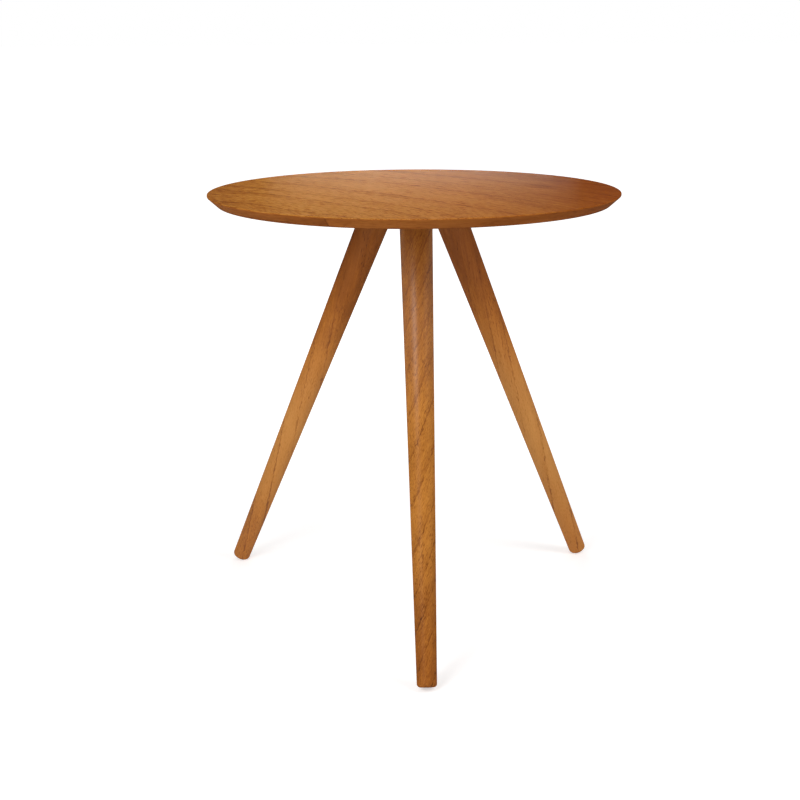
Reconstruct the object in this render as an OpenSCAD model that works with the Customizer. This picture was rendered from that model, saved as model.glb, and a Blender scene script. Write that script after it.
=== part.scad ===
// Round side table on three splayed, tapered legs.
// The origin is on the table's axis, at floor level. +Z is up and the front leg points to -Y.
// A steel tripod bracket is screwed under the top, and each leg is held to it by one hanger bolt.

/* [Table top] */
// Diameter of the round top
top_diameter = 500; // [420:5:700]
// Height of the top face above the floor
table_height = 528; // [420:1:720]
// Thickness of the finished top, with both veneers
top_thickness = 12; // [12:0.5:25]
// Height of the upright lip at the rim, above the bevel
lip_height = 1.6; // [1.4:0.1:4]
// How far the bevel runs in under the top
bevel_run = 11.5; // [5:0.5:25]
// Thickness of the face, backing and edge veneers
veneer_thickness = 0.6; // [0.4:0.1:0.8]
// Sanded arris around the top face
face_arris = 0.3; // [0.1:0.05:0.35]
// Width of the butt joint where the ends of the edge veneer meet
edge_joint_gap = 0.3; // [0.1:0.1:1]
// Direction of that joint, counted from the front towards the right
edge_joint_angle = -25; // [-58:1:58]

/* [Legs] */
// Lean of each leg from upright, in degrees
leg_splay = 24.3; // [16:0.1:28]
// Distance from the table's axis to a leg's axis, at the underside of the top
leg_spacing = 43; // [40:0.5:50]
// Diameter of a leg at its upper end
leg_top_diameter = 39.6; // [34:0.2:44]
// Diameter of a leg at its foot
leg_foot_diameter = 23; // [20:0.5:30]
// Rounding around the foot
foot_rounding = 4; // [1:0.5:5]
// Chamfer around a leg's upper end
leg_top_chamfer = 1; // [0.5:0.25:2]

/* [Tripod bracket] */
// Diameter of the steel plate
plate_diameter = 150; // [140:2:180]
// Thickness of the steel plate
plate_thickness = 3; // [2.5:0.5:5]
// Outer diameter of the threaded sockets that are welded to the plate
socket_diameter = 20; // [16:0.5:24]
// Air between the plate and the highest edge of a leg
leg_plate_gap = 0.8; // [0.4:0.1:3]

/* [Hanger bolts] */
// Diameter of a hanger bolt
hanger_diameter = 8; // [6:0.5:10]
// Depth of a hanger bolt in its leg
hanger_depth = 38; // [25:1:60]
// Length of the point at a hanger bolt's lower end
hanger_point = 7; // [4:0.5:9]
// Free depth below a hanger bolt in its leg
hanger_bore_spare = 2; // [1:0.5:6]
// Air between a hanger bolt's upper end and the underside of the top
hanger_top_gap = 0.5; // [0.2:0.1:1.5]

/* [Plate screws] */
// Diameter of a screw's shank
screw_diameter = 4; // [3:0.1:4.5]
// Diameter of a screw's countersunk head
screw_head_diameter = 8; // [6.5:0.1:9]
// Length of a screw over its head
screw_length = 12; // [9:0.5:13]
// Length of a screw's point
screw_point = 3; // [1.5:0.1:4]
// Distance from the rim of the plate to a screw's axis
screw_rim_distance = 12; // [8:0.5:15]
// Angle between the two screws of a pair, seen from the table's axis
screw_pair_angle = 28; // [20:1:36]
// Length of the cross recess in a screw's head
recess_length = 4.4; // [3:0.1:5]
// Width of the cross recess
recess_width = 0.9; // [0.6:0.1:1.2]
// Depth of the cross recess
recess_depth = 1.5; // [0.8:0.1:1.8]

/* [Fits] */
// Radial clearance between a thread and its hole
thread_clearance = 0.05; // [0.02:0.01:0.1]
// Radial clearance between a screw and its hole in the plate
plate_hole_clearance = 0.2; // [0.1:0.05:0.4]

/* [Hidden] */

$fn = 128;

// A cut passes through faces by this much.
overshoot = 1;

// Directions on plan, counted from the front towards the right.
leg_pitch = 120;
front_direction = 0;
right_direction = leg_pitch;
left_direction = -leg_pitch;

// The top, measured down from its face.
top_radius = top_diameter / 2;
underside_z = table_height - top_thickness;
bevel_height = top_thickness - lip_height;
bevel_angle = atan(bevel_height / bevel_run);
edge_veneer_width = veneer_thickness / sin(bevel_angle);
edge_veneer_turn = lip_height - veneer_thickness * (1 - sin(bevel_angle)) / cos(bevel_angle);
function bevel_radius(depth) = top_radius - (depth - lip_height) * bevel_run / bevel_height;
function core_radius(depth) = bevel_radius(depth) - edge_veneer_width;

// The legs, measured down along a leg's axis from the underside of the top.
leg_top_radius = leg_top_diameter / 2;
leg_foot_radius = leg_foot_diameter / 2;
leg_start = (plate_thickness + leg_plate_gap + leg_top_radius * sin(leg_splay)) / cos(leg_splay);
foot_flat_radius = leg_foot_radius - foot_rounding;
foot_drop = foot_flat_radius * sin(leg_splay) + foot_rounding * (1 - cos(leg_splay));
leg_end = (underside_z - foot_drop) / cos(leg_splay);

// The bracket and its fasteners.
plate_radius = plate_diameter / 2;
plate_underside_z = underside_z - plate_thickness;
socket_radius = socket_diameter / 2;
hanger_radius = hanger_diameter / 2;
hanger_start = (hanger_top_gap + hanger_radius * sin(leg_splay)) / cos(leg_splay);
hanger_end = leg_start + hanger_depth;
hanger_chamfer = hanger_radius / 5;
hanger_tip_radius = hanger_radius / 8;
thread_hole_radius = hanger_radius + thread_clearance;
screw_radius = screw_diameter / 2;
screw_head_radius = screw_head_diameter / 2;
screw_head_depth = screw_head_radius - screw_radius;
screw_tip_radius = screw_radius / 8;
screw_circle_radius = plate_radius - screw_rim_distance;
screw_directions = [for (gap = [0:2]) for (side = [-1, 1])
    leg_pitch * (gap + 0.5) + side * screw_pair_angle / 2];

// Places its children in a direction on plan, with their +X pointing outwards.
module facing(direction) {
    rotate([0, 0, direction - 90])
        children();
}

// Places its children on a leg's axis, with their -Z running down the leg.
module along_leg(direction) {
    facing(direction)
        translate([leg_spacing, 0, underside_z])
            rotate([0, -leg_splay, 0])
                children();
}

// Places its children at each screw, with their -Z running up into the top.
module at_each_screw() {
    for (direction = screw_directions)
        facing(direction)
            translate([screw_circle_radius, 0, plate_underside_z])
                rotate([180, 0, 0])
                    children();
}

// Turns an outline of [radius, depth below the top face] points about the table's axis.
module turned_top(outline) {
    translate([0, 0, table_height])
        rotate_extrude()
            polygon([for (point = outline) [point[0], -point[1]]]);
}

// The holes that the screws bite into.
module screw_pilots() {
    at_each_screw()
        translate([0, 0, -screw_length - thread_clearance])
            cylinder(r = screw_radius + thread_clearance, h = screw_length);
}

module top_core() {
    color([0.70, 0.58, 0.42])
        difference() {
            turned_top([
                [0, veneer_thickness],
                [top_radius - veneer_thickness, veneer_thickness],
                [top_radius - veneer_thickness, edge_veneer_turn],
                [core_radius(top_thickness - veneer_thickness), top_thickness - veneer_thickness],
                [0, top_thickness - veneer_thickness],
            ]);
            screw_pilots();
        }
}

module face_veneer() {
    color([0.76, 0.46, 0.21])
        turned_top([
            [0, 0],
            [top_radius - face_arris, 0],
            [top_radius, face_arris],
            [top_radius, veneer_thickness],
            [0, veneer_thickness],
        ]);
}

module backing_veneer() {
    color([0.66, 0.40, 0.20])
        difference() {
            turned_top([
                [0, top_thickness - veneer_thickness],
                [core_radius(top_thickness - veneer_thickness), top_thickness - veneer_thickness],
                [core_radius(top_thickness), top_thickness],
                [0, top_thickness],
            ]);
            screw_pilots();
        }
}

module edge_veneer() {
    color([0.56, 0.32, 0.15])
        difference() {
            turned_top([
                [top_radius - veneer_thickness, veneer_thickness],
                [top_radius, veneer_thickness],
                [top_radius, lip_height],
                [bevel_radius(top_thickness), top_thickness],
                [core_radius(top_thickness), top_thickness],
                [top_radius - veneer_thickness, edge_veneer_turn],
            ]);
            facing(edge_joint_angle)
                translate([0, -edge_joint_gap / 2, underside_z - overshoot])
                    cube([top_radius + overshoot, edge_joint_gap, top_thickness + 2 * overshoot]);
        }
}

module tripod_plate() {
    color([0.22, 0.22, 0.23])
        difference() {
            translate([0, 0, plate_underside_z])
                cylinder(r = plate_radius, h = plate_thickness);
            for (direction = [front_direction, right_direction, left_direction])
                along_leg(direction)
                    translate([0, 0, -leg_start])
                        cylinder(r = thread_hole_radius, h = 2 * leg_start);
            at_each_screw()
                translate([0, 0, -plate_thickness - overshoot])
                    cylinder(r = screw_radius + plate_hole_clearance, h = plate_thickness + 2 * overshoot);
            // The countersinks are at 45 degrees and pass through the underside.
            at_each_screw()
                translate([0, 0, -screw_head_depth])
                    cylinder(
                        r1 = screw_radius + plate_hole_clearance,
                        r2 = screw_head_radius + plate_hole_clearance + overshoot,
                        h = screw_head_depth + overshoot
                    );
        }
}

// One countersunk screw, head up, with its head's face at the origin.
module screw() {
    difference() {
        union() {
            translate([0, 0, -screw_head_depth])
                cylinder(r1 = screw_radius, r2 = screw_head_radius, h = screw_head_depth);
            translate([0, 0, -screw_length + screw_point])
                cylinder(r = screw_radius, h = screw_length - screw_point - screw_head_depth);
            translate([0, 0, -screw_length])
                cylinder(r1 = screw_tip_radius, r2 = screw_radius, h = screw_point);
        }
        for (turn = [0, 90])
            rotate([0, 0, turn])
                translate([-recess_length / 2, -recess_width / 2, -recess_depth])
                    cube([recess_length, recess_width, recess_depth + overshoot]);
    }
}

module plate_screws() {
    color([0.72, 0.70, 0.62])
        at_each_screw()
            screw();
}

// A threaded bush, cut to the plate above and square to the leg below.
module socket(direction) {
    color([0.25, 0.25, 0.26])
        difference() {
            along_leg(direction)
                translate([0, 0, -leg_start])
                    cylinder(r = socket_radius, h = leg_start + socket_radius);
            along_leg(direction)
                translate([0, 0, -leg_start - overshoot])
                    cylinder(r = thread_hole_radius, h = leg_start + socket_radius + 2 * overshoot);
            translate([-plate_radius, -plate_radius, plate_underside_z])
                cube([plate_diameter, plate_diameter, plate_radius]);
        }
}

module front_socket() {
    socket(front_direction);
}

module left_socket() {
    socket(left_direction);
}

module right_socket() {
    socket(right_direction);
}

// Machine thread in the socket above, wood thread in the leg below.
module hanger_bolt(direction) {
    color([0.75, 0.75, 0.74])
        along_leg(direction)
            rotate_extrude()
                polygon([
                    [0, -hanger_start],
                    [hanger_radius - hanger_chamfer, -hanger_start],
                    [hanger_radius, -hanger_start - hanger_chamfer],
                    [hanger_radius, -hanger_end + hanger_point],
                    [hanger_tip_radius, -hanger_end],
                    [0, -hanger_end],
                ]);
}

module front_hanger_bolt() {
    hanger_bolt(front_direction);
}

module left_hanger_bolt() {
    hanger_bolt(left_direction);
}

module right_hanger_bolt() {
    hanger_bolt(right_direction);
}

// Half the section of a leg: a straight taper with a rounded foot.
module leg_outline() {
    difference() {
        polygon([
            [0, -leg_start],
            [leg_top_radius - leg_top_chamfer, -leg_start],
            [leg_top_radius, -leg_start - leg_top_chamfer],
            [leg_foot_radius, -leg_end + foot_rounding],
            [leg_foot_radius, -leg_end],
            [0, -leg_end],
        ]);
        difference() {
            translate([foot_flat_radius, -leg_end - overshoot])
                square(foot_rounding + overshoot);
            translate([foot_flat_radius, -leg_end + foot_rounding])
                circle(r = foot_rounding);
        }
    }
}

module leg(direction) {
    color([0.68, 0.38, 0.16])
        along_leg(direction)
            difference() {
                rotate_extrude()
                    leg_outline();
                translate([0, 0, -hanger_end - hanger_bore_spare])
                    cylinder(r = thread_hole_radius, h = hanger_end + hanger_bore_spare);
            }
}

module front_leg() {
    leg(front_direction);
}

module left_leg() {
    leg(left_direction);
}

module right_leg() {
    leg(right_direction);
}

top_core();
face_veneer();
backing_veneer();
edge_veneer();
tripod_plate();
plate_screws();
front_socket();
left_socket();
right_socket();
front_hanger_bolt();
left_hanger_bolt();
right_hanger_bolt();
front_leg();
left_leg();
right_leg();
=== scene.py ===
"""Tripod side table: a thin round top with a bevelled edge on three splayed, tapered legs."""

import math

import bmesh
import bpy
from mathutils import Matrix, Vector


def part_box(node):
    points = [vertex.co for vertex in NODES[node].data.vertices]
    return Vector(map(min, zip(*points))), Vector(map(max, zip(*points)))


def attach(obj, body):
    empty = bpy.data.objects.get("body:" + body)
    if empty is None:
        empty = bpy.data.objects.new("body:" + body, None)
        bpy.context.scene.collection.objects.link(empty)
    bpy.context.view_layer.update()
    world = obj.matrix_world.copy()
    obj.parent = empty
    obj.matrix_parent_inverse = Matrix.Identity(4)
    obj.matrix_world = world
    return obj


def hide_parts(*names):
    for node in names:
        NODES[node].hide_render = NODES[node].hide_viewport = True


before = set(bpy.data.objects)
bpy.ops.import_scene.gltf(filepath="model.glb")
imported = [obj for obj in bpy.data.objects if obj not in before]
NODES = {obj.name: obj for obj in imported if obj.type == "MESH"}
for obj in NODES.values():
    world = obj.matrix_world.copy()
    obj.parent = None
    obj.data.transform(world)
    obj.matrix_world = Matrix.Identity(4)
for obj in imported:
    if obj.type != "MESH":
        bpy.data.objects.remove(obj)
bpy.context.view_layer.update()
MM = 0.001

# The table's own sizes, in metres. Angles on plan are counted from the front towards the right.
TOP_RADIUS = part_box("face_veneer")[1].x
TABLE_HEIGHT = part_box("face_veneer")[1].z
VENEER = TABLE_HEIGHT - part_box("face_veneer")[0].z
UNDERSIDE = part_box("backing_veneer")[0].z
PLATE_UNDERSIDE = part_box("tripod_plate")[0].z
PLATE_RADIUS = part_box("tripod_plate")[1].x
LIP_HEIGHT = 1.6 * MM
LIP_ROUNDING = 0.6 * MM
BEVEL_RUN = 11.5 * MM
BEVEL_END_CHAMFER = 0.25 * MM
BEVEL_END_FLAT = 0.1 * MM
FACE_ARRIS = 0.3 * MM
EDGE_JOINT_GAP = 0.3 * MM
EDGE_JOINT_ANGLE = math.radians(-25)
LEG_SPLAY = math.radians(24.3)
LEG_SPACING = 43 * MM
LEG_TOP_RADIUS = 19.8 * MM
LEG_FOOT_RADIUS = 11.5 * MM
LEG_TOP_CHAMFER = 1 * MM
LEG_PLATE_GAP = 0.8 * MM
FOOT_ROUNDING = 4 * MM
SOCKET_RADIUS = 10 * MM
WELD_DROPS = 44
WELD_SIZE = 1.3 * MM
WELD_FLATNESS = (1.0, 0.72, 0.85)
WELD_LEAN = 0.25
HANGER_RADIUS = 4 * MM
HANGER_DEPTH = 38 * MM
HANGER_BORE_SPARE = 2 * MM
HANGER_POINT = 7 * MM
HANGER_TOP_GAP = 0.5 * MM
MACHINE_PITCH = 1.25 * MM
WOOD_PITCH = 2.8 * MM
MACHINE_ROOT_SHARE = 0.86
WOOD_ROOT_SHARE = 0.74
SCREW_RADIUS = 2 * MM
SCREW_HEAD_RADIUS = 4 * MM
SCREW_LENGTH = 12 * MM
SCREW_POINT = 3 * MM
SCREW_PITCH = 1.6 * MM
SCREW_ROOT_SHARE = 0.70
SCREW_PAIR_ANGLE = math.radians(28)
SCREW_CIRCLE_RADIUS = PLATE_RADIUS - 12 * MM
RECESS_LENGTH = 4.4 * MM
RECESS_WIDTH = 0.9 * MM
RECESS_DEPTH = 1.5 * MM
SHARP_ANGLE = math.radians(38)
ROUND_SIDES = 48
THREAD_STEPS = 24
RIDGE_CORNERS = 4
RIDGE_SHARE = 1.08
MERGE_DISTANCE = 0.01 * MM
LEG_SIDES = 128
FACE_SEGMENTS = 256
EDGE_SEGMENTS = 288
ARC_STEPS = 5
DIRECTIONS = {"front": 0.0, "right": math.radians(120), "left": math.radians(-120)}

# Lengths along a leg's axis, measured down from the underside of the top.
PLATE_THICKNESS = UNDERSIDE - PLATE_UNDERSIDE
LEG_START = (PLATE_THICKNESS + LEG_PLATE_GAP + LEG_TOP_RADIUS * math.sin(LEG_SPLAY)) / math.cos(LEG_SPLAY)
FOOT_FLAT_RADIUS = LEG_FOOT_RADIUS - FOOT_ROUNDING
FOOT_DROP = FOOT_FLAT_RADIUS * math.sin(LEG_SPLAY) + FOOT_ROUNDING * (1 - math.cos(LEG_SPLAY))
LEG_END = (UNDERSIDE - FOOT_DROP) / math.cos(LEG_SPLAY)
BORE_END = LEG_START + HANGER_DEPTH + HANGER_BORE_SPARE
HANGER_START = (HANGER_TOP_GAP + HANGER_RADIUS * math.sin(LEG_SPLAY)) / math.cos(LEG_SPLAY)
HANGER_END = LEG_START + HANGER_DEPTH

# The photograph's camera.
CAMERA_DISTANCE = 1.6993
CAMERA_HEIGHT = 0.72982
CAMERA_SIDE_ANGLE = 0.04849
CAMERA_YAW = -0.01071
CAMERA_PITCH = 0.26754
CAMERA_ROLL = -0.00554
CAMERA_SENSOR = 36.0
CAMERA_NEAR = 0.05
CAMERA_FAR = 200.0
PHOTO_WIDTH = 800
FOCAL_PIXELS = 1390.56

# The floor and the light. Lengths are in metres, and a level of 1 is white.
FLOOR_COLOUR = (0.80, 0.80, 0.80)
FLOOR_GLOW = 0.48
FLOOR_RADIUS = 40.0
FLOOR_SIDES = 64
FLOOR_GAP = 0.2 * MM
WORLD_LEVEL = 0.22

# Each lamp's place, what it points at, its width and height, and its power in watts.
LAMPS = {
    "over": ((-0.09, 0.18, 0.76), (-0.09, 0.18, 0.0), (0.14, 0.9), 0.48),
    "key": ((-0.74, -1.14, 0.90), (0.0, -0.1, 0.40), (0.60, 0.90), 9.5),
    "low_front": ((0.05, -1.75, 0.38), (0.0, -0.1, 0.38), (0.7, 0.3), 3.2),
    "high_left": ((-1.1, -0.7, 1.35), (0.0, 0.0, 0.2), (0.8, 0.8), 2.8),
    "high_right": ((1.1, -0.7, 1.35), (0.0, 0.0, 0.2), (0.8, 0.8), 6.8),
    "left": ((-1.5, -0.7, 0.8), (0.0, 0.0, 0.35), (0.8, 0.8), 1.3),
    "right": ((1.5, -0.7, 0.8), (0.0, 0.0, 0.35), (0.8, 0.8), 4.2),
    "back": ((0.06, 0.95, 0.595), (0.0, 0.0, 0.53), (0.60, 0.06), 1.7),
    "rear_left": ((-1.2, 1.5, 1.0), (0.0, 0.0, 0.25), (0.8, 0.8), 3.0),
    "rear_right": ((1.2, 1.5, 1.0), (0.0, 0.0, 0.25), (0.8, 0.8), 3.0),
}
MIRRORED_LAMPS = ("over", "key", "back")

# The woods: colours from a growth line's dark side to the palest wood, and what reddens them.
FACE_COLOURS = [(0.09, 0.020, 0.003), (0.31, 0.088, 0.010), (0.48, 0.190, 0.029), (0.61, 0.280, 0.065)]
LEG_COLOURS = [(0.08, 0.020, 0.003), (0.29, 0.097, 0.016), (0.47, 0.180, 0.030), (0.60, 0.265, 0.060)]
EDGE_COLOURS = [(0.08, 0.020, 0.005), (0.24, 0.072, 0.014), (0.35, 0.118, 0.025), (0.46, 0.180, 0.043)]
REDDENING = (1.0, 0.71, 0.45)
FACE_GRAIN_CENTRE = (-0.79, -0.68, 0.0)

# How far the growth layers lean from a leg's axis, to the right as seen from the front.
GRAIN_LEANS = {"front": math.radians(22), "left": math.radians(-9), "right": math.radians(9)}


class Wire:
    """A socket in a node tree. Plus, minus, times and over on it add Math nodes to its tree."""

    def __init__(self, socket):
        self.socket = socket

    def maths(self, operation, *others):
        return node(self.socket.id_data, "ShaderNodeMath", {"operation": operation}, [self, *others])

    def __add__(self, other):
        return self.maths("ADD", other)

    __radd__ = __add__

    def __mul__(self, other):
        return self.maths("MULTIPLY", other)

    __rmul__ = __mul__

    def __sub__(self, other):
        return self.maths("SUBTRACT", other)

    def __rsub__(self, other):
        return node(self.socket.id_data, "ShaderNodeMath", {"operation": "SUBTRACT"}, [other, self])

    def __truediv__(self, other):
        return self.maths("DIVIDE", other)

    def fraction(self):
        return self.maths("FRACT")

    def step(self, low, high):
        """0 below low and 1 above high, smooth in between. It falls instead where low is the larger."""
        settings = {"interpolation_type": "SMOOTHSTEP", "clamp": True}
        rising = low < high
        values = {"Value": self, "From Min": min(low, high), "From Max": max(low, high)}
        values.update({"To Min": 0.0 if rising else 1.0, "To Max": 1.0 if rising else 0.0})
        return node(self.socket.id_data, "ShaderNodeMapRange", settings, values, "Result")


def node(tree, kind, settings=None, values=None, output=0):
    """Adds a node, with its settings first and then values or wires for its sockets. Gives one output."""
    made = tree.nodes.new(kind)
    for name, value in (settings or {}).items():
        if name == "stops":
            set_stops(made.color_ramp, value)
        else:
            setattr(made, name, value)
    pairs = values.items() if isinstance(values, dict) else enumerate(values or [])
    for key, value in pairs:
        if isinstance(value, Wire):
            tree.links.new(value.socket, made.inputs[key])
        else:
            made.inputs[key].default_value = value
    return Wire(made.outputs[output]) if len(made.outputs) else made


def set_stops(ramp, stops):
    while len(ramp.elements) < len(stops):
        ramp.elements.new(1.0)
    for element, (place, colour) in zip(ramp.elements, stops):
        element.position = place
        element.color = (*colour, 1.0)


def mix(tree, share, first, second, blend="MIX"):
    """A colour between two colours. Each is a wire or three numbers."""
    settings = {"data_type": "RGBA", "blend_type": blend, "clamp_result": False}
    sockets = {0: share, 6: first, 7: second}
    for key in (6, 7):
        if not isinstance(sockets[key], Wire):
            sockets[key] = (*sockets[key], 1.0)
    return node(tree, "ShaderNodeMix", settings, sockets, 2)


def noise(tree, place, waves, detail, roughness=0.5, offset=(0, 0, 0)):
    """Noise from 0 to 1, with so many waves in a metre along each axis."""
    settings = {"operation": "MULTIPLY_ADD"}
    stretched = node(tree, "ShaderNodeVectorMath", settings, [place, waves, offset], "Vector")
    values = {"Vector": stretched, "Scale": 1.0, "Detail": detail, "Roughness": roughness}
    return node(tree, "ShaderNodeTexNoise", {"normalize": True}, values, "Fac")


def new_material(name):
    """A material and its emptied node tree."""
    material = bpy.data.materials.new(name)
    material.use_nodes = True
    material.node_tree.nodes.clear()
    return material, material.node_tree


def surface(tree, **finish):
    """The Principled shader of a material. What is the same all over is set on its own socket."""
    values = {name.replace("_", " "): value for name, value in finish.items()}
    shader = node(tree, "ShaderNodeBsdfPrincipled", values=values)
    node(tree, "ShaderNodeOutputMaterial", values={"Surface": shader})


def separate(tree, place):
    """The three parts of a vector."""
    parts = tree.nodes.new("ShaderNodeSeparateXYZ")
    tree.links.new(place.socket, parts.inputs[0])
    return [Wire(parts.outputs[name]) for name in "XYZ"]


def object_place(tree):
    return node(tree, "ShaderNodeTexCoord", output="Object")


def arched_grain(tree, centre):
    """Grain that runs in wide arcs round a far point on plan: along the arc, across it, and in depth."""
    settings = {"operation": "SUBTRACT"}
    offset = node(tree, "ShaderNodeVectorMath", settings, [object_place(tree), centre], "Vector")
    x, y, z = separate(tree, offset)
    across = (x * x + y * y).maths("SQRT")
    along = y.maths("ARCTAN2", x) * Vector(centre).length
    return node(tree, "ShaderNodeCombineXYZ", values=[along, across, z])


def straight_grain(tree, origin, along, across):
    """Straight grain through an origin: along the fibres, across the growth layers, and in depth."""
    x_axis = Vector(along).normalized()
    y_axis = (Vector(across) - x_axis * x_axis.dot(Vector(across))).normalized()
    turn = Matrix((x_axis, y_axis, x_axis.cross(y_axis))).transposed().to_euler()
    values = {"Vector": object_place(tree), "Location": origin, "Rotation": turn}
    return node(tree, "ShaderNodeMapping", {"vector_type": "TEXTURE"}, values, "Vector")


def rim_grain(tree):
    """Grain that runs round the rim: along it, then across and in depth, from the piece's own UV map."""
    return node(tree, "ShaderNodeTexCoord", output="UV")


def wood(name, slot_colours, grain, shade, period, line, line_width, broken, ragged, sway, pore, fleck,
         fleck_size, fibre, mottle, roughness, coat, seed):
    """Lacquered wood. Its figure is growth lines, pores, flecks, fibres and slow mottling along the grain.

    grain gives the place in the wood. shade gives how much paler and how much redder than usual the
    wood is there, how clear its lines and flecks are, and the share of the lacquer. line, pore,
    fleck, fibre and mottle say how strongly each shows. period is the distance between growth lines,
    line_width their width, broken how far they fall apart into dashes, ragged how jagged and sway
    how wavy they are, and fleck_size a fleck's length and width. coat is the lacquer's weight,
    roughness and IOR, and seed moves the pattern.
    """
    material, tree = new_material(name)
    place = grain(tree)
    shift = (seed * 1.37, seed * 0.71, seed * 0.29)
    across = separate(tree, place)[1]

    def field(waves, detail, grit=0.5):
        """Noise with so many waves in a metre along the fibres, across them and in depth."""
        return noise(tree, place, waves, detail, grit, shift)

    wander = field((5, 11, 11), 3.0, 0.55)
    teeth = field((150, 380, 380), 2.0, 0.6)
    uneven = field((0.5, 9, 9), 1.0)
    layers = (across + (wander - 0.5) * sway + (teeth - 0.5) * ragged) / period
    layer = (layers + (uneven - 0.5) * 1.6 + seed * 0.37).fraction()
    line_place = 0.95
    half = line_width / period / 2
    before, after = line_place - half, line_place + half
    late_wood = layer.step(0.45, before) * layer.step(1.0, after)
    crisp_line = layer.step(line_place - 2 * half, before) * layer.step(line_place + 2 * half, after)
    dashes = field((70, 160, 160), 2.0).step(0.42, 0.58)
    growth = late_wood * 0.22 + crisp_line * (1.0 - broken + dashes * broken)

    fibres = field((22, 620, 620), 3.0, 0.6)
    streaks = field((9, 130, 130), 2.0, 0.55)
    pores = field((130, 1000, 1000), 1.0, 0.4).step(0.60, 0.68) * field((14, 60, 60), 2.0).step(0.35, 0.6)
    fleck_field = field((1 / fleck_size[0], 1 / fleck_size[1], 1 / fleck_size[1]), 1.0, 0.4)
    flecks = fleck_field.step(0.52, 0.76) - fleck_field.step(0.44, 0.26) * 0.6
    paler, redder, clear, lacquer = shade(tree)
    clouds = field((13, 26, 26), 3.0, 0.6)

    usual = 0.62
    tone = usual + (fibres - 0.5) * fibre + (streaks - 0.5) * (fibre * 0.9) + (clouds - 0.5) * mottle
    tone = tone + paler - pores * pore - (growth * line + flecks * fleck) * clear
    stops = list(zip((0.0, 0.4, usual, 1.0), slot_colours))
    colour = node(tree, "ShaderNodeValToRGB", {"stops": stops}, [tone])
    colour = mix(tree, redder, colour, REDDENING, blend="MULTIPLY")
    rough = roughness + (fibres - 0.5) * 0.12 + pores * 0.10
    height = fibres * 0.4 - pores
    bump = {"Strength": 0.35, "Distance": 0.08 * MM, "Height": height}
    normal = node(tree, "ShaderNodeBump", values=bump)
    surface(
        tree, Base_Color=colour, Roughness=rough, Normal=normal, Specular_IOR_Level=0.0,
        Coat_Weight=lacquer * coat[0], Coat_Roughness=coat[1], Coat_IOR=coat[2],
    )
    return material


def even(tree):
    """Wood of one tone all over."""
    return 0.0, 0.0, 1.0, 1.0


def face_shade(tree):
    """The face is darker, redder and plainer towards the right, and darker at the left end."""
    x = separate(tree, object_place(tree))[0]
    # The darker right and left ends are partly darker, redder wood and partly painted shade where light
    # falls off.
    paler = 0.04 - x.step(0.02, 0.24) * 0.23 - x.step(-0.12, -0.25) * 0.11
    redder = x.step(-0.12, 0.10) * 0.5 + x.step(0.12, 0.25) * 0.35
    return paler, redder, x.step(0.20, -0.04) * 0.7 + 0.3, 1.0


def face_wood():
    return wood(
        "face_wood", FACE_COLOURS, lambda tree: arched_grain(tree, FACE_GRAIN_CENTRE), face_shade,
        period=0.060, line=0.38, line_width=0.0017, broken=0.8, ragged=0.006, sway=0.050, pore=0.28,
        fleck=0.40, fleck_size=(0.014, 0.0016), fibre=0.26, mottle=0.26, roughness=0.5,
        coat=(0.022, 0.17, 1.5), seed=3,
    )


def edge_shade(tree):
    """The edge is darker towards the right. Its two ends differ in tone, and glue shows between them."""
    x = separate(tree, object_place(tree))[0]
    along = separate(tree, rim_grain(tree))[0]
    rim = 2 * math.pi * TOP_RADIUS
    glue_far, glue_near = 1.4 * MM, 0.4 * MM
    ends = along.step(0.07, 0.0) * 0.04 - along.step(rim - 0.09, rim) * 0.10
    glue = along.step(glue_far, glue_near) + along.step(rim - glue_far, rim - glue_near)
    # Towards the right the edge is partly darker, redder wood and partly painted shade, as on the face.
    paler = ends - glue * 0.12 - x.step(0.0, 0.22) * 0.10 - 0.11
    return paler, x.step(0.0, 0.2) * 0.25, 1.0, 1.0


def edge_wood():
    return wood(
        "edge_wood", EDGE_COLOURS, rim_grain, edge_shade,
        period=0.011, line=0.16, line_width=0.0008, broken=0.7, ragged=0.003, sway=0.012, pore=0.16,
        fleck=0.10, fleck_size=(0.008, 0.0012), fibre=0.28, mottle=0.36, roughness=0.5,
        coat=(0.03, 0.3, 1.5), seed=8,
    )


def backing_wood():
    """Thinly lacquered wood whose grain runs across the table."""
    origin, along, across = (0, 0, UNDERSIDE), (1, 0.1, 0), (0, 1, 0.3)
    return wood(
        "backing_wood", EDGE_COLOURS, lambda tree: straight_grain(tree, origin, along, across), even,
        period=0.042, line=0.22, line_width=0.0012, broken=0.7, ragged=0.003, sway=0.040, pore=0.22,
        fleck=0.12, fleck_size=(0.010, 0.0012), fibre=0.26, mottle=0.24, roughness=0.6,
        coat=(0.0, 0.3, 1.5), seed=15,
    )


def outward(direction):
    """The unit vector on plan in a direction counted from the front towards the right."""
    return Vector((math.sin(direction), -math.cos(direction), 0))


def leg_up(direction):
    """The unit vector up along a leg."""
    return Vector((0, 0, math.cos(LEG_SPLAY))) - outward(direction) * math.sin(LEG_SPLAY)


def leg_origin(direction):
    """Where a leg's axis meets the underside of the top."""
    return outward(direction) * LEG_SPACING + Vector((0, 0, UNDERSIDE))


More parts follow.
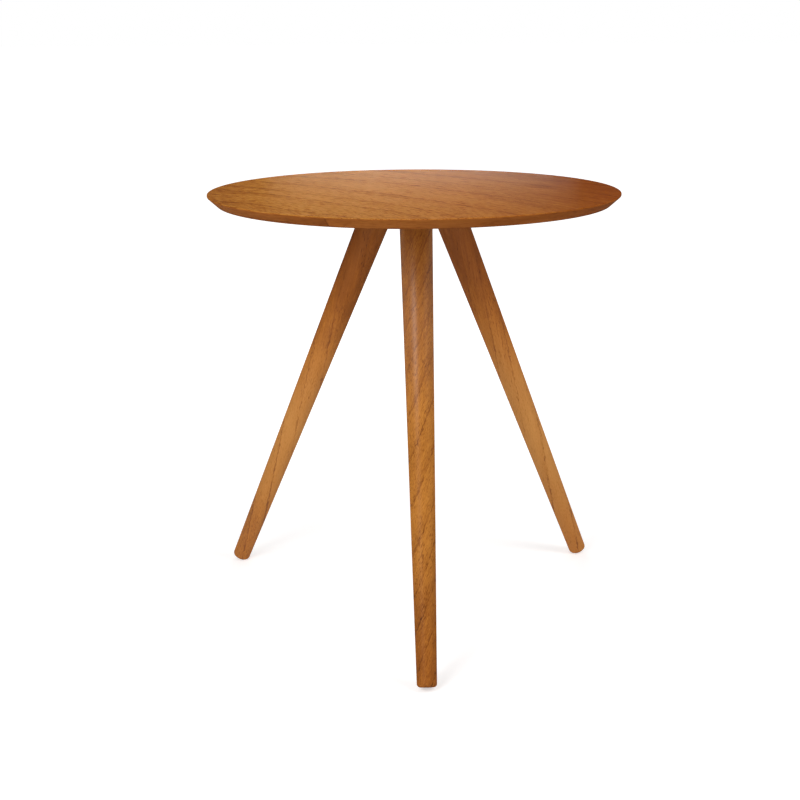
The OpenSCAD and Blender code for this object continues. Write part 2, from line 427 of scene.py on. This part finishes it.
def leg_wood(side, line, period, paler, top, foot, red, plain, gloss, seed):
    """Leg wood whose growth layers lean from the leg's axis.

    paler, top and foot say how much paler the whole leg, its top end and its foot are. top, red and
    plain paint shade under the table top: red says how much redder the top is, and plain how much
    fainter its figure. The darker, redder foot is partly darker wood and partly painted shade where
    the light falls off towards the floor. On the side legs paler is partly painted light, brightening
    them where the lamps reach them less. gloss is the share of the lacquer on the upper half and on
    the lower half.
    """
    direction, lean = DIRECTIONS[side], GRAIN_LEANS[side]
    origin = leg_origin(direction)
    up = leg_up(direction)
    right = Vector((0, 1, 0)).cross(up).normalized()
    along = up * math.cos(lean) + right * math.sin(lean)
    across = right * math.cos(lean) - up * math.sin(lean)

    def shade(tree):
        z = separate(tree, object_place(tree))[2]
        high = z.step(0.21, 0.45)
        # Painted shade: top darkens the leg under the table top; foot is partly painted shade, partly
        # darker wood.
        tone = paler + high * top + z.step(0.20, 0.02) * foot
        lacquer = z.step(0.24, 0.40) * (gloss[0] - gloss[1]) + gloss[1]
        # The redder, plainer top end is painted shade too; the redder foot is partly painted shade.
        return tone, z.step(0.16, 0.0) * 0.3 + high * red, 1.0 - high * plain, lacquer

    return wood(
        f"{side}_leg_wood", LEG_COLOURS, lambda tree: straight_grain(tree, origin, along, across), shade,
        period=period, line=line, line_width=0.0010, broken=0.7, ragged=0.0055, sway=0.012, pore=0.24,
        fleck=0.16, fleck_size=(0.0038, 0.0010), fibre=0.24, mottle=0.26, roughness=0.5,
        coat=(0.13, 0.40, 3.0), seed=seed,
    )


def board_core():
    """Raw fibreboard: fine pale fibres with no grain."""
    material, tree = new_material("board_core")
    place = object_place(tree)
    specks = noise(tree, place, (900, 900, 900), detail=4.0, roughness=0.7)
    colour = mix(tree, specks.step(0.3, 0.7), (0.34, 0.21, 0.10), (0.50, 0.34, 0.18))
    bump = {"Strength": 0.5, "Distance": 0.2 * MM, "Height": specks}
    normal = node(tree, "ShaderNodeBump", values=bump)
    surface(tree, Base_Color=colour, Roughness=0.85 + (specks - 0.5) * 0.2, Normal=normal)
    return material


def powder_coat():
    """Black powder coat: matt, with a fine orange peel and slow drifts in tone."""
    material, tree = new_material("bracket_steel")
    place = object_place(tree)
    peel = noise(tree, place, (1400, 1400, 1400), detail=2.0)
    dust = noise(tree, place, (60, 60, 60), detail=4.0)
    colour = mix(tree, dust.step(0.35, 0.75), (0.022, 0.022, 0.024), (0.036, 0.036, 0.038))
    rough = 0.5 + (dust - 0.5) * 0.2 + (peel - 0.5) * 0.1
    bump = {"Strength": 0.4, "Distance": 0.06 * MM, "Height": peel}
    normal = node(tree, "ShaderNodeBump", values=bump)
    surface(tree, Base_Color=colour, Roughness=rough, Normal=normal)
    return material


def zinc_steel():
    """Bright zinc plating with a faint blue and yellow drift and fine scratches."""
    material, tree = new_material("zinc_steel")
    place = object_place(tree)
    drift = noise(tree, place, (180, 180, 180), detail=3.0)
    scratch = noise(tree, place, (300, 2600, 2600), detail=3.0)
    colour = mix(tree, drift.step(0.3, 0.7), (0.60, 0.62, 0.65), (0.66, 0.63, 0.56))
    rough = 0.30 + (scratch - 0.5) * 0.25 + (drift - 0.5) * 0.1
    surface(tree, Base_Color=colour, Roughness=rough, Metallic=1.0)
    return material


def seen(tree):
    """1 for what the camera sees, directly, mirrored or through glass, and 0 for light on the object."""
    kinds = ("Camera", "Glossy", "Transmission")
    camera, glossy, clear = (
        node(tree, "ShaderNodeLightPath", output=f"Is {kind} Ray") for kind in kinds
    )
    return camera.maths("MAXIMUM", glossy).maths("MAXIMUM", clear)


def stage_floor():
    """A pale matt floor. It also glows for the camera and for reflections, just enough to be white.

    The glow is full far away, where the lamps don't reach, and low under the table, where it
    leaves the soft shadow. From below the floor is clear, so that the underside can be looked at.
    """
    material, tree = new_material("floor")
    x, y = separate(tree, object_place(tree))[:2]
    far = (x * x + y * y).maths("SQRT").step(0.25, 1.6)
    level = seen(tree) * (FLOOR_GLOW + far * (1.0 - FLOOR_GLOW))
    matt = node(tree, "ShaderNodeBsdfDiffuse", values={"Color": (*FLOOR_COLOUR, 1.0)})
    glow = node(tree, "ShaderNodeEmission")
    dimmed = node(tree, "ShaderNodeMixShader", values={0: level, 2: glow})
    both = node(tree, "ShaderNodeAddShader", values=[matt, dimmed])
    below = node(tree, "ShaderNodeNewGeometry", output="Backfacing")
    clear = node(tree, "ShaderNodeBsdfTransparent")
    sides = node(tree, "ShaderNodeMixShader", values=[below, both, clear])
    node(tree, "ShaderNodeOutputMaterial", values={"Surface": sides})
    return material


def make_camera():
    """The camera that took the photograph."""
    yaw = CAMERA_YAW + CAMERA_SIDE_ANGLE
    level = Vector((math.sin(yaw), math.cos(yaw), 0))
    forward = level * math.cos(CAMERA_PITCH) - Vector((0, 0, math.sin(CAMERA_PITCH)))
    right = Vector((math.cos(yaw), -math.sin(yaw), 0))
    up = right.cross(forward)
    rolled_right = right * math.cos(CAMERA_ROLL) + up * math.sin(CAMERA_ROLL)
    rolled_up = up * math.cos(CAMERA_ROLL) - right * math.sin(CAMERA_ROLL)
    away = Vector((math.sin(CAMERA_SIDE_ANGLE), math.cos(CAMERA_SIDE_ANGLE), 0)) * CAMERA_DISTANCE
    data = bpy.data.cameras.new("camera")
    data.sensor_width = CAMERA_SENSOR
    data.lens = FOCAL_PIXELS / PHOTO_WIDTH * CAMERA_SENSOR
    data.clip_start = CAMERA_NEAR
    data.clip_end = CAMERA_FAR
    camera = bpy.data.objects.new("camera", data)
    turn = Matrix((rolled_right, rolled_up, -forward)).transposed().to_4x4()
    camera.matrix_world = Matrix.Translation(Vector((0, 0, CAMERA_HEIGHT)) - away) @ turn
    bpy.context.scene.collection.objects.link(camera)
    bpy.context.scene.camera = camera


def make_lamp(name, place, aim, size, watts):
    """A softbox that the camera doesn't see. Only the mirrored ones show in the lacquer."""
    data = bpy.data.lights.new(name, "AREA")
    data.shape = "ELLIPSE"
    data.energy = watts
    data.size, data.size_y = size
    lamp = bpy.data.objects.new(name, data)
    lamp.location = place
    lamp.rotation_euler = (Vector(aim) - Vector(place)).to_track_quat("-Z", "Y").to_euler()
    lamp.visible_camera = False
    lamp.visible_glossy = name in MIRRORED_LAMPS
    bpy.context.scene.collection.objects.link(lamp)


def make_world():
    """Plain soft light from all round, and white to what the camera and reflections see."""
    world = bpy.data.worlds.new("studio")
    world.use_nodes = True
    bpy.context.scene.world = world
    tree = world.node_tree
    tree.nodes.clear()
    colour = mix(tree, seen(tree), (WORLD_LEVEL, WORLD_LEVEL, WORLD_LEVEL), (1.0, 1.0, 1.0))
    background = node(tree, "ShaderNodeBackground", values={"Color": colour, "Strength": 1.0})
    node(tree, "ShaderNodeOutputWorld", values={"Surface": background})


def make_stage():
    """The floor, the world and the lamps."""
    mesh = bpy.data.meshes.new("floor")
    shape = bmesh.new()
    bmesh.ops.create_circle(shape, cap_ends=True, segments=FLOOR_SIDES, radius=FLOOR_RADIUS)
    bmesh.ops.translate(shape, verts=shape.verts, vec=(0, 0, -FLOOR_GAP))
    shape.to_mesh(mesh)
    shape.free()
    mesh.materials.append(stage_floor())
    floor = bpy.data.objects.new("floor", mesh)
    bpy.context.scene.collection.objects.link(floor)
    make_world()
    for name, lamp in LAMPS.items():
        make_lamp(name, *lamp)


def lathe(name, outline, segments, gap=None):
    """Turns an outline of (radius, height) points about the table's axis into a closed mesh.

    The outline starts and ends on the axis, or is a loop where every radius is above zero.
    gap is the pair of angles between which a loop is left open, counted from the front.
    """
    shape = bmesh.new()
    closed = outline[0][0] > 0
    turns = [2 * math.pi * i / segments for i in range(segments)]
    if gap:
        first, last = gap[1], gap[0] + 2 * math.pi
        turns = [first + (last - first) * i / segments for i in range(segments + 1)]
    rings = []
    for radius, height in outline:
        level = Vector((0, 0, height))
        places = [outward(turn) * radius + level for turn in turns] if radius > 0 else [level]
        rings.append([shape.verts.new(place) for place in places])
    pairs = list(zip(rings, rings[1:])) + ([(rings[-1], rings[0])] if closed else [])
    steps = [(i, i + 1) for i in range(len(turns) - 1)] + ([] if gap else [(len(turns) - 1, 0)])
    for upper, lower in pairs:
        for i, j in steps:
            places = ((upper, i), (lower, i), (lower, j), (upper, j))
            shape.faces.new(dict.fromkeys(ring[k % len(ring)] for ring, k in places))
    if gap:
        shape.faces.new([ring[0] for ring in rings])
        shape.faces.new([ring[-1] for ring in reversed(rings)])
    bmesh.ops.recalc_face_normals(shape, faces=shape.faces)
    mesh = bpy.data.meshes.new(name)
    shape.to_mesh(mesh)
    shape.free()
    piece = bpy.data.objects.new(name, mesh)
    bpy.context.scene.collection.objects.link(piece)
    return piece


def arc(centre, radius, start, end):
    """Points on an arc of (radius, height), with angles in degrees from the outward direction."""
    angles = [math.radians(start + (end - start) * i / ARC_STEPS) for i in range(ARC_STEPS + 1)]
    return [(centre[0] + radius * math.cos(a), centre[1] + radius * math.sin(a)) for a in angles]


def settle(piece, material, slot_name, *replaced):
    """Gives a piece its finish, smooth shading and body."""
    piece.data.materials.clear()
    piece.data.materials.append(material)
    piece.data.shade_smooth()
    piece.data.set_sharp_from_angle(angle=SHARP_ANGLE)
    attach(piece, "root")
    if replaced:
        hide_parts(*replaced)


def make_face(material):
    """The face veneer: a flat disc of a few rings of faces, with a rounded arris."""
    top, bottom = TABLE_HEIGHT, TABLE_HEIGHT - VENEER
    ring_shares = [0.25, 0.5, 0.7, 0.85, 0.95, 0.99, 0.997]
    outline = [(0, top)] + [(TOP_RADIUS * share, top) for share in ring_shares]
    outline += arc((TOP_RADIUS - FACE_ARRIS, top - FACE_ARRIS), FACE_ARRIS, 90, 0)
    outline += [(TOP_RADIUS, bottom), (TOP_RADIUS * ring_shares[-1], bottom), (0, bottom)]
    settle(lathe("table_face", outline, FACE_SEGMENTS), material, "face_wood", "face_veneer")


def make_edge(material):
    """The edge veneer: an upright lip, then a bevel that runs in under the top."""
    bevel_height = TABLE_HEIGHT - UNDERSIDE - LIP_HEIGHT
    slope = math.atan2(bevel_height, BEVEL_RUN)
    width = VENEER / math.sin(slope)
    turn_depth = LIP_HEIGHT - VENEER * (1 - math.sin(slope)) / math.cos(slope)
    setback = LIP_ROUNDING * math.tan((math.pi / 2 - slope) / 2)
    low_radius = TOP_RADIUS - BEVEL_RUN
    centre = (TOP_RADIUS - LIP_ROUNDING, TABLE_HEIGHT - LIP_HEIGHT + setback)
    outline = [(TOP_RADIUS - VENEER, TABLE_HEIGHT - VENEER), (TOP_RADIUS, TABLE_HEIGHT - VENEER)]
    outline += arc(centre, LIP_ROUNDING, 0, math.degrees(slope) - 90)
    outline += [
        (low_radius + BEVEL_END_CHAMFER, UNDERSIDE + BEVEL_END_CHAMFER * math.tan(slope)),
        (low_radius - BEVEL_END_FLAT, UNDERSIDE),
        (low_radius - width, UNDERSIDE),
        (TOP_RADIUS - VENEER, TABLE_HEIGHT - turn_depth),
    ]
    half_gap = EDGE_JOINT_GAP / 2 / TOP_RADIUS
    gap = (EDGE_JOINT_ANGLE - half_gap, EDGE_JOINT_ANGLE + half_gap)
    piece = lathe("edge_band", outline, EDGE_SEGMENTS, gap)
    wrap_round_rim(piece.data)
    settle(piece, material, "edge_wood", "edge_veneer")


def wrap_round_rim(mesh):
    """A UV map in metres: along the rim from the joint, then down across the edge."""
    layer = mesh.uv_layers.new(name="rim")
    for loop in mesh.loops:
        place = mesh.vertices[loop.vertex_index].co
        angle = math.atan2(place.x, -place.y) - EDGE_JOINT_ANGLE
        layer.data[loop.index].uv = (angle % (2 * math.pi) * TOP_RADIUS, place.z)


def geometry_tree(name, sizes):
    """A geometry node tree with one named input for each size, and those inputs as wires."""
    tree = bpy.data.node_groups.new(name, "GeometryNodeTree")
    tree.interface.new_socket("Geometry", in_out="OUTPUT", socket_type="NodeSocketGeometry")
    kinds = {float: "NodeSocketFloat", int: "NodeSocketInt", bpy.types.Material: "NodeSocketMaterial"}
    for size, value in sizes.items():
        tree.interface.new_socket(size, in_out="INPUT", socket_type=kinds[type(value)])
    inputs = tree.nodes.new("NodeGroupInput")
    return tree, {size: Wire(inputs.outputs[size]) for size in sizes}


def close_tree(tree, geometry, material):
    """Ends a geometry tree with real meshes in one material."""
    real = node(tree, "GeometryNodeRealizeInstances", values=[geometry])
    finished = node(tree, "GeometryNodeSetMaterial", values={"Geometry": real, "Material": material})
    node(tree, "NodeGroupOutput", values=[finished])


def grow(name, tree, sizes):
    """Runs a geometry tree with its sizes, and gives the result as a plain mesh object."""
    piece = bpy.data.objects.new(name, bpy.data.meshes.new(name))
    bpy.context.scene.collection.objects.link(piece)
    modifier = piece.modifiers.new("shape", "NODES")
    modifier.node_group = tree
    for item in tree.interface.items_tree:
        if item.in_out == "INPUT":
            modifier[item.identifier] = sizes[item.name]
    graph = bpy.context.evaluated_depsgraph_get()
    mesh = bpy.data.meshes.new_from_object(piece.evaluated_get(graph))
    mesh.name = name
    piece.modifiers.remove(modifier)
    piece.data = mesh
    return piece


def vector(tree, x=0.0, y=0.0, z=0.0):
    return node(tree, "ShaderNodeCombineXYZ", values=[x, y, z])


def moved(tree, geometry, place=(0.0, 0.0, 0.0), turn=(0.0, 0.0, 0.0), scale=(1.0, 1.0, 1.0)):
    values = {"Geometry": geometry, "Translation": place, "Rotation": turn, "Scale": scale}
    return node(tree, "GeometryNodeTransform", values=values)


def fuse(tree, *parts):
    """Closed parts that overlap, as one closed skin. Points of its seams that nearly meet are merged."""
    union = tree.nodes.new("GeometryNodeMeshBoolean")
    union.operation, union.solver = "UNION", "EXACT"
    for part in parts:
        tree.links.new(part.socket, union.inputs["Mesh 2"])
    values = {"Geometry": Wire(union.outputs["Mesh"]), "Distance": MERGE_DISTANCE}
    return node(tree, "GeometryNodeMergeByDistance", values=values)


def cut(tree, solid, tool):
    """A closed solid without what a closed tool takes away."""
    settings = {"operation": "DIFFERENCE", "solver": "EXACT"}
    return node(tree, "GeometryNodeMeshBoolean", settings, {"Mesh 1": solid, "Mesh 2": tool})


def along_leg(tree, size, geometry):
    """Sets what runs down -Z onto a leg's axis."""
    leaned = moved(
        tree, geometry, vector(tree, size["Spacing"], 0.0, size["Hang height"]),
        vector(tree, 0.0, 0.0 - size["Splay"], 0.0),
    )
    return moved(tree, leaned, turn=vector(tree, 0.0, 0.0, size["Direction"] - math.pi / 2))


def cone(tree, low_radius, high_radius, low, high):
    """A cone or cylinder about Z between two heights."""
    values = {"Radius Bottom": low_radius, "Radius Top": high_radius, "Depth": high - low}
    shape = node(tree, "GeometryNodeMeshCone", values={"Vertices": ROUND_SIDES, **values})
    return moved(tree, shape, vector(tree, 0.0, 0.0, low))


def thread(tree, low_radius, high_radius, low, high, pitch, depth):
    """A thread about Z between two heights. Its crest is at the radius given for each end.

    Its ridge is a little deeper than the thread, so that its flanks start inside the core.
    """
    ridge_size = depth * RIDGE_SHARE
    helix = node(tree, "GeometryNodeCurveSpiral", values={
        "Resolution": THREAD_STEPS, "Rotations": (high - low) / pitch, "Height": high - low,
        "Start Radius": low_radius - ridge_size, "End Radius": high_radius - ridge_size,
    })
    upright = node(tree, "GeometryNodeSetCurveNormal", {"mode": "Z_UP"}, {"Curve": helix})
    values = {"Resolution": RIDGE_CORNERS, "Radius": ridge_size}
    ridge = node(tree, "GeometryNodeCurvePrimitiveCircle", values=values)
    values = {"Curve": upright, "Profile Curve": ridge, "Fill Caps": True}
    winding = node(tree, "GeometryNodeCurveToMesh", values=values)
    return moved(tree, winding, vector(tree, 0.0, 0.0, low))


def leg_tree(sizes):
    """A turned leg along -Z: a straight taper with a chamfered top, a rounded foot and a bore."""
    tree, size = geometry_tree("turned_leg", sizes)
    straight, bent = 60, 12
    line = node(tree, "GeometryNodeMeshLine", {"mode": "OFFSET"}, {"Count": straight + bent})
    index = node(tree, "GeometryNodeInputIndex")
    bend = ((index - (straight - 1)) / bent).maths("MAXIMUM", 0.0)
    angle = bend * (math.pi / 2)
    share = ((index - 1) / (straight - 2)).maths("MINIMUM", 1.0).maths("MAXIMUM", 0.0)
    first = index.maths("LESS_THAN", 0.5)
    neck = size["Start"] + size["Chamfer"]
    ankle = size["End"] - size["Rounding"]
    depth = neck + (ankle - neck) * share + size["Rounding"] * angle.maths("SINE") - first * size["Chamfer"]
    taper = size["Top radius"] + (size["Foot radius"] - size["Top radius"]) * share
    radius = taper - first * size["Chamfer"] - size["Rounding"] * (1.0 - angle.maths("COSINE"))
    place = vector(tree, 0.0, 0.0, 0.0 - depth)
    profile = node(tree, "GeometryNodeSetPosition", values={"Geometry": line, "Position": place})
    curve = node(tree, "GeometryNodeMeshToCurve", values=[profile])
    sized = node(tree, "GeometryNodeSetCurveRadius", values={"Curve": curve, "Radius": radius})
    values = {"Resolution": size["Sides"], "Radius": 1.0}
    ring = node(tree, "GeometryNodeCurvePrimitiveCircle", values=values)
    values = {"Curve": sized, "Profile Curve": ring, "Scale": radius, "Fill Caps": True}
    shell = node(tree, "GeometryNodeCurveToMesh", values=values)
    values = {"Vertices": ROUND_SIDES, "Radius": size["Bore radius"], "Depth": 2.0 * size["Bore depth"]}
    drill = node(tree, "GeometryNodeMeshCylinder", values=values)
    drill = moved(tree, drill, vector(tree, 0.0, 0.0, 0.0 - size["Start"]))
    close_tree(tree, along_leg(tree, size, cut(tree, shell, drill)), size["Material"])
    return tree


def make_legs(materials):
    sizes = {
        "Top radius": LEG_TOP_RADIUS, "Foot radius": LEG_FOOT_RADIUS, "Chamfer": LEG_TOP_CHAMFER,
        "Rounding": FOOT_ROUNDING, "Start": LEG_START, "End": LEG_END, "Bore radius": HANGER_RADIUS,
        "Bore depth": BORE_END - LEG_START, "Spacing": LEG_SPACING, "Hang height": UNDERSIDE,
        "Splay": LEG_SPLAY, "Direction": 0.0, "Sides": LEG_SIDES, "Material": materials["front"],
    }
    tree = leg_tree(sizes)
    for side, direction in DIRECTIONS.items():
        sizes.update({"Direction": direction, "Material": materials[side]})
        piece = grow(f"{side}_turned_leg", tree, sizes)
        settle(piece, materials[side], "leg_wood", f"{side}_leg")


def bolt_tree(sizes):
    """A hanger bolt along -Z: machine thread above, a plain collar, then wood thread to a point.

    Its parts overlap a little, so that no two rings of points coincide.
    """
    tree, size = geometry_tree("hanger_bolt", sizes)
    crest = size["Radius"]
    root, wood_root = crest * MACHINE_ROOT_SHARE, crest * WOOD_ROOT_SHARE
    top, neck, point, tip = (0.0 - size[name] for name in ("Start", "Neck", "Point", "End"))
    chamfer = crest * 0.2
    overlap = crest * 0.02
    collar = neck - size["Machine pitch"] * 2.0
    tip_radius, tip_crest, tip_ridge = crest * 0.1, crest * 0.55, crest * 0.25
    thread_end = tip + crest * 0.5
    parts = [
        cone(tree, root - overlap, root - chamfer, top - chamfer - overlap, top),
        cone(tree, root, root, neck, top - chamfer),
        thread(tree, crest, crest, neck, top - chamfer * 2.0, size["Machine pitch"], crest - root),
        cone(tree, crest, crest, collar, neck),
        cone(tree, wood_root, wood_root, point, collar),
        cone(tree, tip_radius, wood_root - overlap, tip, point + overlap),
        thread(tree, crest, crest, point, collar, size["Wood pitch"], crest - wood_root),
        thread(tree, tip_crest, crest, thread_end, point, size["Wood pitch"], tip_ridge),
    ]
    close_tree(tree, along_leg(tree, size, fuse(tree, *parts)), size["Material"])
    return tree


def make_bolts(material):
    sizes = {
        "Radius": HANGER_RADIUS, "Start": HANGER_START, "Neck": LEG_START,
        "Point": HANGER_END - HANGER_POINT, "End": HANGER_END, "Machine pitch": MACHINE_PITCH,
        "Wood pitch": WOOD_PITCH, "Spacing": LEG_SPACING, "Hang height": UNDERSIDE,
        "Splay": LEG_SPLAY, "Direction": 0.0, "Material": material,
    }
    tree = bolt_tree(sizes)
    for side, direction in DIRECTIONS.items():
        sizes["Direction"] = direction
        piece = grow(f"{side}_threaded_bolt", tree, sizes)
        settle(piece, material, "zinc_steel", f"{side}_hanger_bolt")


def screw_tree(sizes):
    """Pairs of countersunk wood screws in a ring, with their heads facing down."""
    tree, size = geometry_tree("plate_screws", sizes)
    crest, head = size["Radius"], size["Head radius"]
    root = crest * SCREW_ROOT_SHARE
    under_head = crest - head
    overlap = crest * 0.01
    point, tip = size["Point"] - size["Length"], 0.0 - size["Length"]
    tip_radius, tip_crest, tip_ridge = crest * 0.12, crest * 0.62, crest * 0.28
    core_start, thread_start, thread_end = under_head * 0.9, under_head * 1.3, tip + crest * 0.6
    countersunk = cone(tree, crest, head, under_head, 0.0)
    recess = vector(tree, size["Recess length"], size["Recess width"], 2.0 * size["Recess depth"])
    slot = node(tree, "GeometryNodeMeshCube", values={"Size": recess})
    crossed = moved(tree, slot, turn=(0.0, 0.0, math.pi / 2))
    recessed = cut(tree, cut(tree, countersunk, slot), crossed)
    screw = fuse(
        tree, recessed,
        cone(tree, root, root, point, core_start),
        cone(tree, tip_radius, root - overlap, tip, point + overlap),
        thread(tree, crest, crest, point, thread_start, size["Pitch"], crest - root),
        thread(tree, tip_crest, crest, thread_end, point, size["Pitch"], tip_ridge),
    )
    ring = node(tree, "GeometryNodeMeshLine", {"mode": "OFFSET"}, {"Count": size["Pairs"] * 2})
    index = node(tree, "GeometryNodeInputIndex")
    pair = (index / 2.0).maths("FLOOR")
    side = (index - pair * 2.0) - 0.5
    direction = (pair + 0.5) * (2 * math.pi) / size["Pairs"] + side * size["Pair angle"]
    right = direction.maths("SINE") * size["Ring radius"]
    front = direction.maths("COSINE") * size["Ring radius"]
    place = vector(tree, right, 0.0 - front, size["Height"])
    placed = node(tree, "GeometryNodeSetPosition", values={"Geometry": ring, "Position": place})
    turn = vector(tree, math.pi, 0.0, direction - math.pi / 2)
    values = {"Points": placed, "Instance": screw, "Rotation": turn}
    close_tree(tree, node(tree, "GeometryNodeInstanceOnPoints", values=values), size["Material"])
    return tree


def make_screws(material):
    sizes = {
        "Radius": SCREW_RADIUS, "Head radius": SCREW_HEAD_RADIUS, "Length": SCREW_LENGTH,
        "Point": SCREW_POINT, "Pitch": SCREW_PITCH, "Recess length": RECESS_LENGTH,
        "Recess width": RECESS_WIDTH, "Recess depth": RECESS_DEPTH, "Pairs": len(DIRECTIONS),
        "Pair angle": SCREW_PAIR_ANGLE, "Ring radius": SCREW_CIRCLE_RADIUS, "Height": PLATE_UNDERSIDE,
        "Material": material,
    }
    piece = grow("threaded_plate_screws", screw_tree(sizes), sizes)
    settle(piece, material, "zinc_steel", "plate_screws")


def weld_tree(sizes):
    """A bead of overlapping drops round each leaning socket, where it meets the plate."""
    tree, size = geometry_tree("weld_beads", sizes)
    count = size["Sockets"] * size["Drops"]
    line = node(tree, "GeometryNodeMeshLine", {"mode": "OFFSET"}, {"Count": count})
    index = node(tree, "GeometryNodeInputIndex")
    socket = (index / size["Drops"]).maths("FLOOR")
    turn = index / size["Drops"] * (2 * math.pi)
    out = size["Distance"] + turn.maths("COSINE") * size["Long radius"]
    aside = turn.maths("SINE") * size["Short radius"]
    direction = socket * (2 * math.pi) / size["Sockets"] - math.pi / 2
    sine, cosine = direction.maths("SINE"), direction.maths("COSINE")
    place = vector(tree, out * cosine - aside * sine, out * sine + aside * cosine, size["Height"])
    placed = node(tree, "GeometryNodeSetPosition", values={"Geometry": line, "Position": place})
    drop = node(tree, "GeometryNodeMeshIcoSphere", values={"Radius": size["Size"], "Subdivisions": 2})
    flat = moved(tree, drop, scale=WELD_FLATNESS)
    lean = vector(tree, 0.0, WELD_LEAN, direction + turn)
    values = {"Points": placed, "Instance": flat, "Rotation": lean}
    close_tree(tree, node(tree, "GeometryNodeInstanceOnPoints", values=values), size["Material"])
    return tree


def make_welds(material):
    sizes = {
        "Sockets": len(DIRECTIONS), "Drops": WELD_DROPS, "Size": WELD_SIZE, "Height": PLATE_UNDERSIDE,
        "Distance": LEG_SPACING + PLATE_THICKNESS * math.tan(LEG_SPLAY),
        "Long radius": SOCKET_RADIUS / math.cos(LEG_SPLAY), "Short radius": SOCKET_RADIUS,
        "Material": material,
    }
    settle(grow("weld_beads", weld_tree(sizes), sizes), material, "bracket_steel")


def dress(names, material):
    """Gives CAD nodes that stay their material."""
    for name in names:
        NODES[name].data.materials.clear()
        NODES[name].data.materials.append(material)


make_camera()
make_stage()
make_face(face_wood())
make_edge(edge_wood())
# In each leg top, red and plain paint shade under the table top, and foot is partly painted shade.
make_legs({
    "front": leg_wood(
        "front", line=0.20, period=0.019, paler=0.0, top=-0.15, foot=-0.20, red=0.0, plain=0.2,
        gloss=(1.0, 0.2), seed=4,
    ),
    # On the side legs paler is partly painted light, brightening them where the lamps reach them less.
    "left": leg_wood(
        "left", line=0.26, period=0.020, paler=0.19, top=-0.47, foot=-0.22, red=0.35, plain=0.7,
        gloss=(0.3, 0.8), seed=11,
    ),
    "right": leg_wood(
        "right", line=0.30, period=0.020, paler=0.28, top=-0.50, foot=-0.14, red=0.5, plain=0.7,
        gloss=(0.4, 0.8), seed=23,
    ),
})
dress(["backing_veneer"], backing_wood())
dress(["top_core"], board_core())
coated, plated = powder_coat(), zinc_steel()
make_welds(coated)
make_bolts(plated)
make_screws(plated)
dress(["tripod_plate", "front_socket", "left_socket", "right_socket"], coated)

bpy.context.scene.view_settings.view_transform = "Standard"
